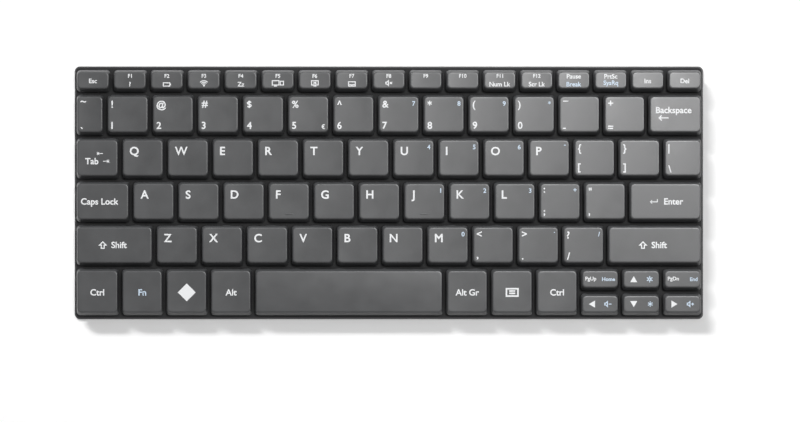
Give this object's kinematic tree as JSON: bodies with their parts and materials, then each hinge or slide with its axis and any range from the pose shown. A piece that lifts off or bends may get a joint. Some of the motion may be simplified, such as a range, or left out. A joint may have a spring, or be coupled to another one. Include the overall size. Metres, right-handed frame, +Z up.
{
  "type": "laptop keyboard",
  "caption": "Flat laptop keyboard module: tile keycaps in staggered rows on sprung scissor levers over a dome membrane and a thin steel plate.",
  "frame": {"origin": "middle of the back face", "axes": "+X along the rows to the right, +Y from the space bar to the function keys, +Z up through the key tops"},
  "size_m": [0.2476, 0.0994, 0.0052],
  "materials": {
    "keycap": "fine satin grain",
    "plate": "black coated steel",
    "membrane": "black printed film",
    "dome": "milky silicone",
    "lever": "smooth white",
    "wire": "drawn wire",
    "film": "black film"
  },
  "bodies": {
    "base": {"base_plate": "plate", "backing_film": "film", "membrane_circuit": "membrane", "rubber_domes": "dome", "inner_levers": "lever", "outer_levers": "lever", "function_keycaps": "keycap", "number_keycaps": "keycap", "arrow_keycaps": "keycap"},
    "key_tab": {"key_tab": "keycap"},
    "key_q": {"key_q": "keycap"},
    "key_w": {"key_w": "keycap"},
    "key_e": {"key_e": "keycap"},
    "key_r": {"key_r": "keycap"},
    "key_t": {"key_t": "keycap"},
    "key_y": {"key_y": "keycap"},
    "key_u": {"key_u": "keycap"},
    "key_i": {"key_i": "keycap"},
    "key_o": {"key_o": "keycap"},
    "key_p": {"key_p": "keycap"},
    "key_bracket_open": {"key_bracket_open": "keycap"},
    "key_bracket_close": {"key_bracket_close": "keycap"},
    "key_backslash": {"key_backslash": "keycap"},
    "key_caps": {"key_caps": "keycap"},
    "key_a": {"key_a": "keycap"},
    "key_s": {"key_s": "keycap"},
    "key_d": {"key_d": "keycap"},
    "key_f": {"key_f": "keycap"},
    "key_g": {"key_g": "keycap"},
    "key_h": {"key_h": "keycap"},
    "key_j": {"key_j": "keycap"},
    "key_k": {"key_k": "keycap"},
    "key_l": {"key_l": "keycap"},
    "key_semicolon": {"key_semicolon": "keycap"},
    "key_quote": {"key_quote": "keycap"},
    "key_enter": {"key_enter": "keycap"},
    "key_shift_left": {"key_shift_left": "keycap"},
    "key_z": {"key_z": "keycap"},
    "key_x": {"key_x": "keycap"},
    "key_c": {"key_c": "keycap"},
    "key_v": {"key_v": "keycap"},
    "key_b": {"key_b": "keycap"},
    "key_n": {"key_n": "keycap"},
    "key_m": {"key_m": "keycap"},
    "key_comma": {"key_comma": "keycap"},
    "key_period": {"key_period": "keycap"},
    "key_slash": {"key_slash": "keycap"},
    "key_shift_right": {"key_shift_right": "keycap"},
    "key_ctrl_left": {"key_ctrl_left": "keycap"},
    "key_fn": {"key_fn": "keycap"},
    "key_meta": {"key_meta": "keycap"},
    "key_alt_left": {"key_alt_left": "keycap"},
    "key_space": {"key_space": "keycap"},
    "key_alt_right": {"key_alt_right": "keycap"},
    "key_menu": {"key_menu": "keycap"},
    "key_ctrl_right": {"key_ctrl_right": "keycap"},
    "wire_enter": {"wire_enter": "wire"},
    "wire_shift_left": {"wire_shift_left": "wire"},
    "wire_shift_right": {"wire_shift_right": "wire"},
    "wire_space": {"wire_space": "wire"}
  },
  "joints": [
    {"name": "press_tab", "type": "slide", "parent": "base", "child": "key_tab", "axis": [0, 0, -1], "range_m": [0, 0.0018], "stiffness_N_per_m": 250, "springref_m": -0.0005, "deforming": ["rubber_domes", "inner_levers", "outer_levers"]},
    {"name": "press_q", "type": "slide", "parent": "base", "child": "key_q", "axis": [0, 0, -1], "range_m": [0, 0.0018], "stiffness_N_per_m": 250, "springref_m": -0.0005, "deforming": ["rubber_domes", "inner_levers", "outer_levers"]},
    {"name": "press_w", "type": "slide", "parent": "base", "child": "key_w", "axis": [0, 0, -1], "range_m": [0, 0.0018], "stiffness_N_per_m": 250, "springref_m": -0.0005, "deforming": ["rubber_domes", "inner_levers", "outer_levers"]},
    {"name": "press_e", "type": "slide", "parent": "base", "child": "key_e", "axis": [0, 0, -1], "range_m": [0, 0.0018], "stiffness_N_per_m": 250, "springref_m": -0.0005, "deforming": ["rubber_domes", "inner_levers", "outer_levers"]},
    {"name": "press_r", "type": "slide", "parent": "base", "child": "key_r", "axis": [0, 0, -1], "range_m": [0, 0.0018], "stiffness_N_per_m": 250, "springref_m": -0.0005, "deforming": ["rubber_domes", "inner_levers", "outer_levers"]},
    {"name": "press_t", "type": "slide", "parent": "base", "child": "key_t", "axis": [0, 0, -1], "range_m": [0, 0.0018], "stiffness_N_per_m": 250, "springref_m": -0.0005, "deforming": ["rubber_domes", "inner_levers", "outer_levers"]},
    {"name": "press_y", "type": "slide", "parent": "base", "child": "key_y", "axis": [0, 0, -1], "range_m": [0, 0.0018], "stiffness_N_per_m": 250, "springref_m": -0.0005, "deforming": ["rubber_domes", "inner_levers", "outer_levers"]},
    {"name": "press_u", "type": "slide", "parent": "base", "child": "key_u", "axis": [0, 0, -1], "range_m": [0, 0.0018], "stiffness_N_per_m": 250, "springref_m": -0.0005, "deforming": ["rubber_domes", "inner_levers", "outer_levers"]},
    {"name": "press_i", "type": "slide", "parent": "base", "child": "key_i", "axis": [0, 0, -1], "range_m": [0, 0.0018], "stiffness_N_per_m": 250, "springref_m": -0.0005, "deforming": ["rubber_domes", "inner_levers", "outer_levers"]},
    {"name": "press_o", "type": "slide", "parent": "base", "child": "key_o", "axis": [0, 0, -1], "range_m": [0, 0.0018], "stiffness_N_per_m": 250, "springref_m": -0.0005, "deforming": ["rubber_domes", "inner_levers", "outer_levers"]},
    {"name": "press_p", "type": "slide", "parent": "base", "child": "key_p", "axis": [0, 0, -1], "range_m": [0, 0.0018], "stiffness_N_per_m": 250, "springref_m": -0.0005, "deforming": ["rubber_domes", "inner_levers", "outer_levers"]},
    {"name": "press_bracket_open", "type": "slide", "parent": "base", "child": "key_bracket_open", "axis": [0, 0, -1], "range_m": [0, 0.0018], "stiffness_N_per_m": 250, "springref_m": -0.0005, "deforming": ["rubber_domes", "inner_levers", "outer_levers"]},
    {"name": "press_bracket_close", "type": "slide", "parent": "base", "child": "key_bracket_close", "axis": [0, 0, -1], "range_m": [0, 0.0018], "stiffness_N_per_m": 250, "springref_m": -0.0005, "deforming": ["rubber_domes", "inner_levers", "outer_levers"]},
    {"name": "press_backslash", "type": "slide", "parent": "base", "child": "key_backslash", "axis": [0, 0, -1], "range_m": [0, 0.0018], "stiffness_N_per_m": 250, "springref_m": -0.0005, "deforming": ["rubber_domes", "inner_levers", "outer_levers"]},
    {"name": "press_caps", "type": "slide", "parent": "base", "child": "key_caps", "axis": [0, 0, -1], "range_m": [0, 0.0018], "stiffness_N_per_m": 250, "springref_m": -0.0005, "deforming": ["rubber_domes", "inner_levers", "outer_levers"]},
    {"name": "press_a", "type": "slide", "parent": "base", "child": "key_a", "axis": [0, 0, -1], "range_m": [0, 0.0018], "stiffness_N_per_m": 250, "springref_m": -0.0005, "deforming": ["rubber_domes", "inner_levers", "outer_levers"]},
    {"name": "press_s", "type": "slide", "parent": "base", "child": "key_s", "axis": [0, 0, -1], "range_m": [0, 0.0018], "stiffness_N_per_m": 250, "springref_m": -0.0005, "deforming": ["rubber_domes", "inner_levers", "outer_levers"]},
    {"name": "press_d", "type": "slide", "parent": "base", "child": "key_d", "axis": [0, 0, -1], "range_m": [0, 0.0018], "stiffness_N_per_m": 250, "springref_m": -0.0005, "deforming": ["rubber_domes", "inner_levers", "outer_levers"]},
    {"name": "press_f", "type": "slide", "parent": "base", "child": "key_f", "axis": [0, 0, -1], "range_m": [0, 0.0018], "stiffness_N_per_m": 250, "springref_m": -0.0005, "deforming": ["rubber_domes", "inner_levers", "outer_levers"]},
    {"name": "press_g", "type": "slide", "parent": "base", "child": "key_g", "axis": [0, 0, -1], "range_m": [0, 0.0018], "stiffness_N_per_m": 250, "springref_m": -0.0005, "deforming": ["rubber_domes", "inner_levers", "outer_levers"]},
    {"name": "press_h", "type": "slide", "parent": "base", "child": "key_h", "axis": [0, 0, -1], "range_m": [0, 0.0018], "stiffness_N_per_m": 250, "springref_m": -0.0005, "deforming": ["rubber_domes", "inner_levers", "outer_levers"]},
    {"name": "press_j", "type": "slide", "parent": "base", "child": "key_j", "axis": [0, 0, -1], "range_m": [0, 0.0018], "stiffness_N_per_m": 250, "springref_m": -0.0005, "deforming": ["rubber_domes", "inner_levers", "outer_levers"]},
    {"name": "press_k", "type": "slide", "parent": "base", "child": "key_k", "axis": [0, 0, -1], "range_m": [0, 0.0018], "stiffness_N_per_m": 250, "springref_m": -0.0005, "deforming": ["rubber_domes", "inner_levers", "outer_levers"]},
    {"name": "press_l", "type": "slide", "parent": "base", "child": "key_l", "axis": [0, 0, -1], "range_m": [0, 0.0018], "stiffness_N_per_m": 250, "springref_m": -0.0005, "deforming": ["rubber_domes", "inner_levers", "outer_levers"]},
    {"name": "press_semicolon", "type": "slide", "parent": "base", "child": "key_semicolon", "axis": [0, 0, -1], "range_m": [0, 0.0018], "stiffness_N_per_m": 250, "springref_m": -0.0005, "deforming": ["rubber_domes", "inner_levers", "outer_levers"]},
    {"name": "press_quote", "type": "slide", "parent": "base", "child": "key_quote", "axis": [0, 0, -1], "range_m": [0, 0.0018], "stiffness_N_per_m": 250, "springref_m": -0.0005, "deforming": ["rubber_domes", "inner_levers", "outer_levers"]},
    {"name": "press_enter", "type": "slide", "parent": "base", "child": "key_enter", "axis": [0, 0, -1], "range_m": [0, 0.0018], "stiffness_N_per_m": 250, "springref_m": -0.0005, "deforming": ["rubber_domes", "inner_levers", "outer_levers"]},
    {"name": "press_shift_left", "type": "slide", "parent": "base", "child": "key_shift_left", "axis": [0, 0, -1], "range_m": [0, 0.0018], "stiffness_N_per_m": 250, "springref_m": -0.0005, "deforming": ["rubber_domes", "inner_levers", "outer_levers"]},
    {"name": "press_z", "type": "slide", "parent": "base", "child": "key_z", "axis": [0, 0, -1], "range_m": [0, 0.0018], "stiffness_N_per_m": 250, "springref_m": -0.0005, "deforming": ["rubber_domes", "inner_levers", "outer_levers"]},
    {"name": "press_x", "type": "slide", "parent": "base", "child": "key_x", "axis": [0, 0, -1], "range_m": [0, 0.0018], "stiffness_N_per_m": 250, "springref_m": -0.0005, "deforming": ["rubber_domes", "inner_levers", "outer_levers"]},
    {"name": "press_c", "type": "slide", "parent": "base", "child": "key_c", "axis": [0, 0, -1], "range_m": [0, 0.0018], "stiffness_N_per_m": 250, "springref_m": -0.0005, "deforming": ["rubber_domes", "inner_levers", "outer_levers"]},
    {"name": "press_v", "type": "slide", "parent": "base", "child": "key_v", "axis": [0, 0, -1], "range_m": [0, 0.0018], "stiffness_N_per_m": 250, "springref_m": -0.0005, "deforming": ["rubber_domes", "inner_levers", "outer_levers"]},
    {"name": "press_b", "type": "slide", "parent": "base", "child": "key_b", "axis": [0, 0, -1], "range_m": [0, 0.0018], "stiffness_N_per_m": 250, "springref_m": -0.0005, "deforming": ["rubber_domes", "inner_levers", "outer_levers"]},
    {"name": "press_n", "type": "slide", "parent": "base", "child": "key_n", "axis": [0, 0, -1], "range_m": [0, 0.0018], "stiffness_N_per_m": 250, "springref_m": -0.0005, "deforming": ["rubber_domes", "inner_levers", "outer_levers"]},
    {"name": "press_m", "type": "slide", "parent": "base", "child": "key_m", "axis": [0, 0, -1], "range_m": [0, 0.0018], "stiffness_N_per_m": 250, "springref_m": -0.0005, "deforming": ["rubber_domes", "inner_levers", "outer_levers"]},
    {"name": "press_comma", "type": "slide", "parent": "base", "child": "key_comma", "axis": [0, 0, -1], "range_m": [0, 0.0018], "stiffness_N_per_m": 250, "springref_m": -0.0005, "deforming": ["rubber_domes", "inner_levers", "outer_levers"]},
    {"name": "press_period", "type": "slide", "parent": "base", "child": "key_period", "axis": [0, 0, -1], "range_m": [0, 0.0018], "stiffness_N_per_m": 250, "springref_m": -0.0005, "deforming": ["rubber_domes", "inner_levers", "outer_levers"]},
    {"name": "press_slash", "type": "slide", "parent": "base", "child": "key_slash", "axis": [0, 0, -1], "range_m": [0, 0.0018], "stiffness_N_per_m": 250, "springref_m": -0.0005, "deforming": ["rubber_domes", "inner_levers", "outer_levers"]},
    {"name": "press_shift_right", "type": "slide", "parent": "base", "child": "key_shift_right", "axis": [0, 0, -1], "range_m": [0, 0.0018], "stiffness_N_per_m": 250, "springref_m": -0.0005, "deforming": ["rubber_domes", "inner_levers", "outer_levers"]},
    {"name": "press_ctrl_left", "type": "slide", "parent": "base", "child": "key_ctrl_left", "axis": [0, 0, -1], "range_m": [0, 0.0018], "stiffness_N_per_m": 250, "springref_m": -0.0005, "deforming": ["rubber_domes", "inner_levers", "outer_levers"]},
    {"name": "press_fn", "type": "slide", "parent": "base", "child": "key_fn", "axis": [0, 0, -1], "range_m": [0, 0.0018], "stiffness_N_per_m": 250, "springref_m": -0.0005, "deforming": ["rubber_domes", "inner_levers", "outer_levers"]},
    {"name": "press_meta", "type": "slide", "parent": "base", "child": "key_meta", "axis": [0, 0, -1], "range_m": [0, 0.0018], "stiffness_N_per_m": 250, "springref_m": -0.0005, "deforming": ["rubber_domes", "inner_levers", "outer_levers"]},
    {"name": "press_alt_left", "type": "slide", "parent": "base", "child": "key_alt_left", "axis": [0, 0, -1], "range_m": [0, 0.0018], "stiffness_N_per_m": 250, "springref_m": -0.0005, "deforming": ["rubber_domes", "inner_levers", "outer_levers"]},
    {"name": "press_space", "type": "slide", "parent": "base", "child": "key_space", "axis": [0, 0, -1], "range_m": [0, 0.0018], "stiffness_N_per_m": 250, "springref_m": -0.0005, "deforming": ["rubber_domes", "inner_levers", "outer_levers"]},
    {"name": "press_alt_right", "type": "slide", "parent": "base", "child": "key_alt_right", "axis": [0, 0, -1], "range_m": [0, 0.0018], "stiffness_N_per_m": 250, "springref_m": -0.0005, "deforming": ["rubber_domes", "inner_levers", "outer_levers"]},
    {"name": "press_menu", "type": "slide", "parent": "base", "child": "key_menu", "axis": [0, 0, -1], "range_m": [0, 0.0018], "stiffness_N_per_m": 250, "springref_m": -0.0005, "deforming": ["rubber_domes", "inner_levers", "outer_levers"]},
    {"name": "press_ctrl_right", "type": "slide", "parent": "base", "child": "key_ctrl_right", "axis": [0, 0, -1], "range_m": [0, 0.0018], "stiffness_N_per_m": 250, "springref_m": -0.0005, "deforming": ["rubber_domes", "inner_levers", "outer_levers"]},
    {"name": "swing_enter", "type": "hinge", "parent": "base", "child": "wire_enter", "pos_m": [0.10845, -0.00279, 0.0013], "axis": [1, 0, 0], "range_deg": [0, 15.42]},
    {"name": "swing_shift_left", "type": "hinge", "parent": "base", "child": "wire_shift_left", "pos_m": [-0.10755, -0.01986, 0.0013], "axis": [1, 0, 0], "range_deg": [0, 15.42]},
    {"name": "swing_shift_right", "type": "hinge", "parent": "base", "child": "wire_shift_right", "pos_m": [0.1042, -0.01986, 0.0013], "axis": [1, 0, 0], "range_deg": [0, 15.42]},
    {"name": "swing_space", "type": "hinge", "parent": "base", "child": "wire_space", "pos_m": [-0.01561, -0.03936, 0.0013], "axis": [1, 0, 0], "range_deg": [0, 15.42]}
  ],
  "couplings": [
    {"joint": "swing_enter", "follows": "press_enter", "rad_per_m": 149.04},
    {"joint": "swing_shift_left", "follows": "press_shift_left", "rad_per_m": 149.04},
    {"joint": "swing_shift_right", "follows": "press_shift_right", "rad_per_m": 149.04},
    {"joint": "swing_space", "follows": "press_space", "rad_per_m": 149.04}
  ]
}
